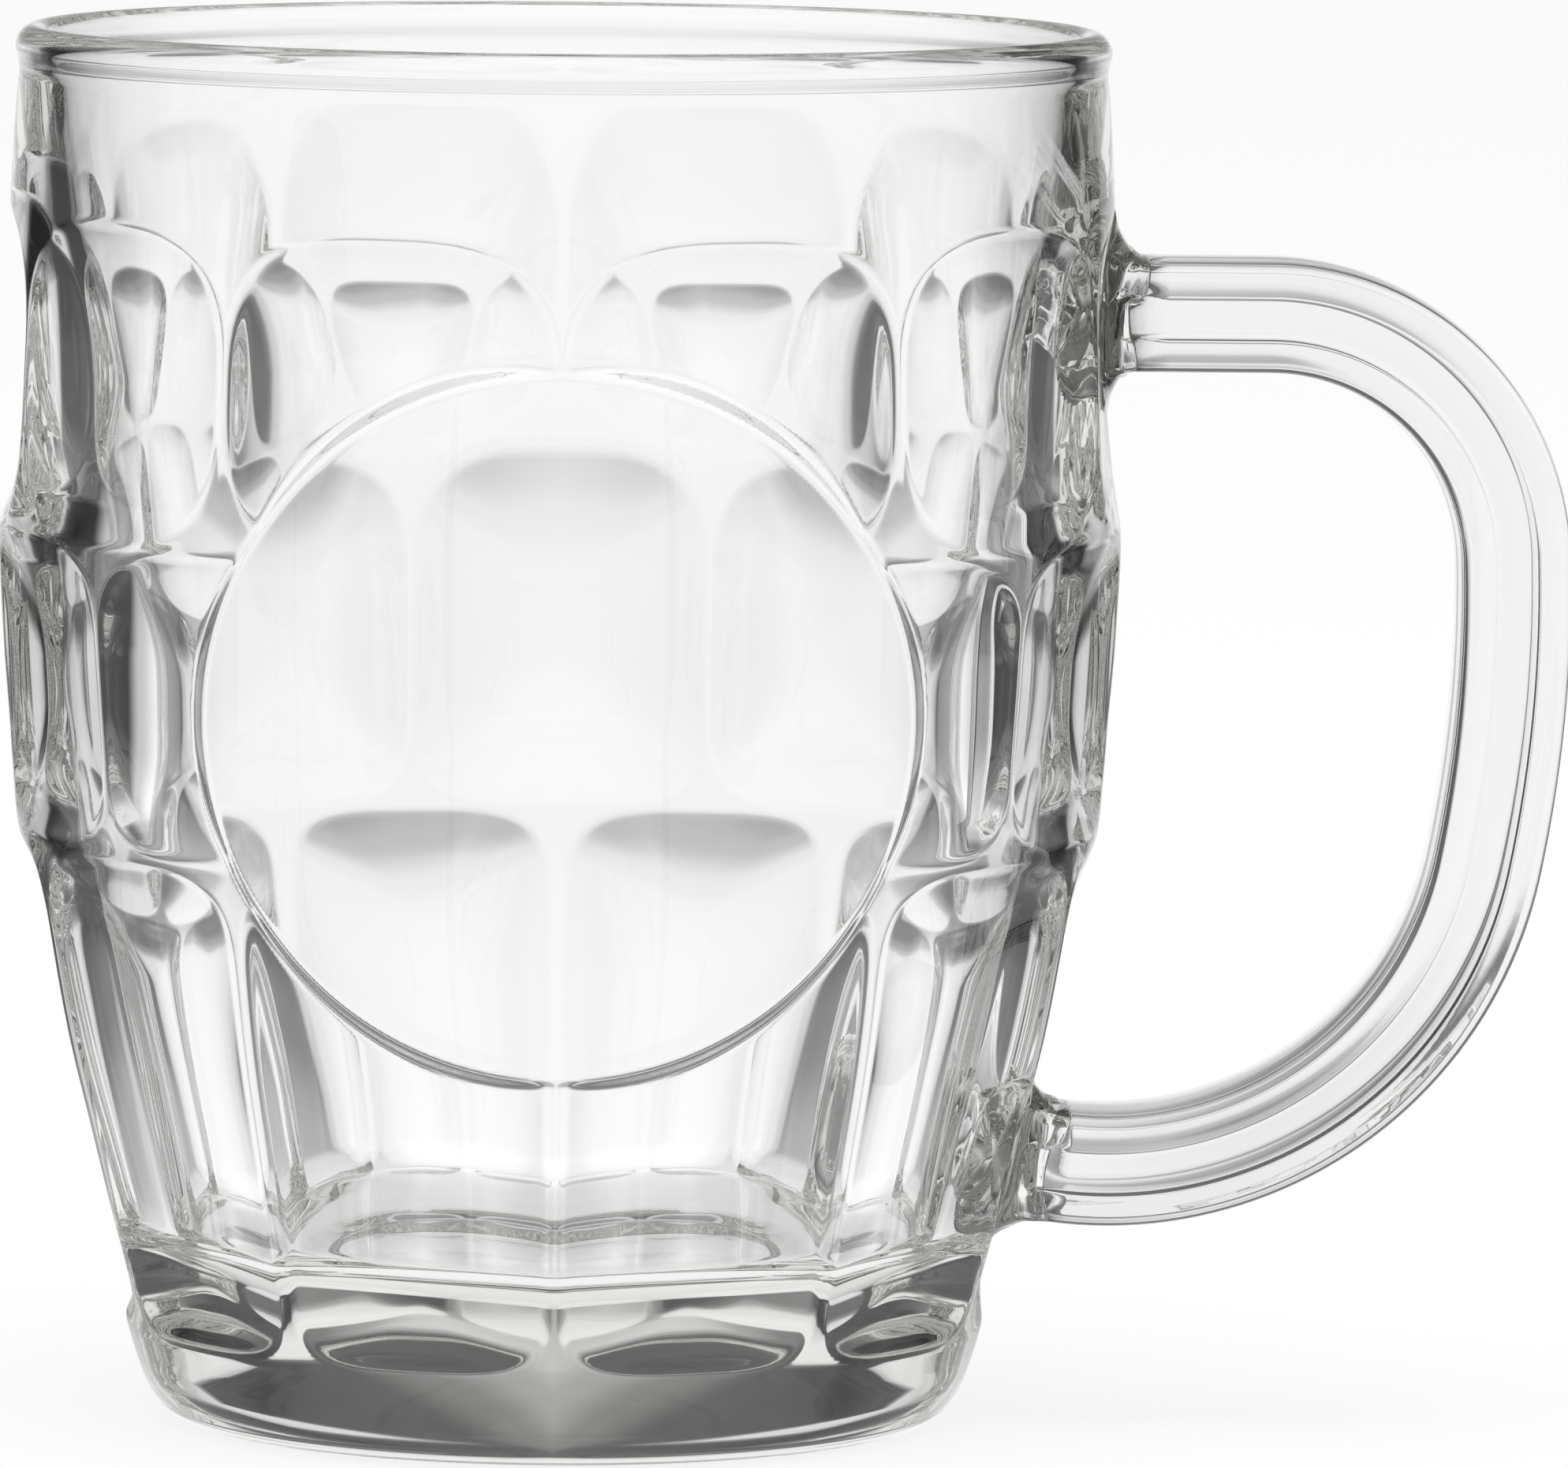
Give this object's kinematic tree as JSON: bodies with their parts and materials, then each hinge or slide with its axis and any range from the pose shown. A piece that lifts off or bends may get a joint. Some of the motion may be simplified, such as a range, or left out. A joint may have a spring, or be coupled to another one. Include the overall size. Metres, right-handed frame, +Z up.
{
  "type": "beer mug",
  "caption": "Barrel-shaped pressed glass beer mug with rows of dimples, a plain round medallion, a rounded rim bead and a welded C-shaped handle.",
  "frame": {"origin": "centre of the foot ring, on the table that the mug stands on", "axes": "+Z up along the axis of the barrel, +X towards the handle, -Y out of the medallion, which faces the viewer"},
  "size_m": [0.1413, 0.1011, 0.125],
  "materials": {
    "body_glass": "clear, polished",
    "handle_glass": "clear, polished",
    "weld_glass": "clear, fire-softened"
  },
  "bodies": {
    "root": {"mug_body": "body_glass", "handle": "handle_glass", "upper_weld": "weld_glass", "lower_weld": "weld_glass"}
  },
  "joints": []
}
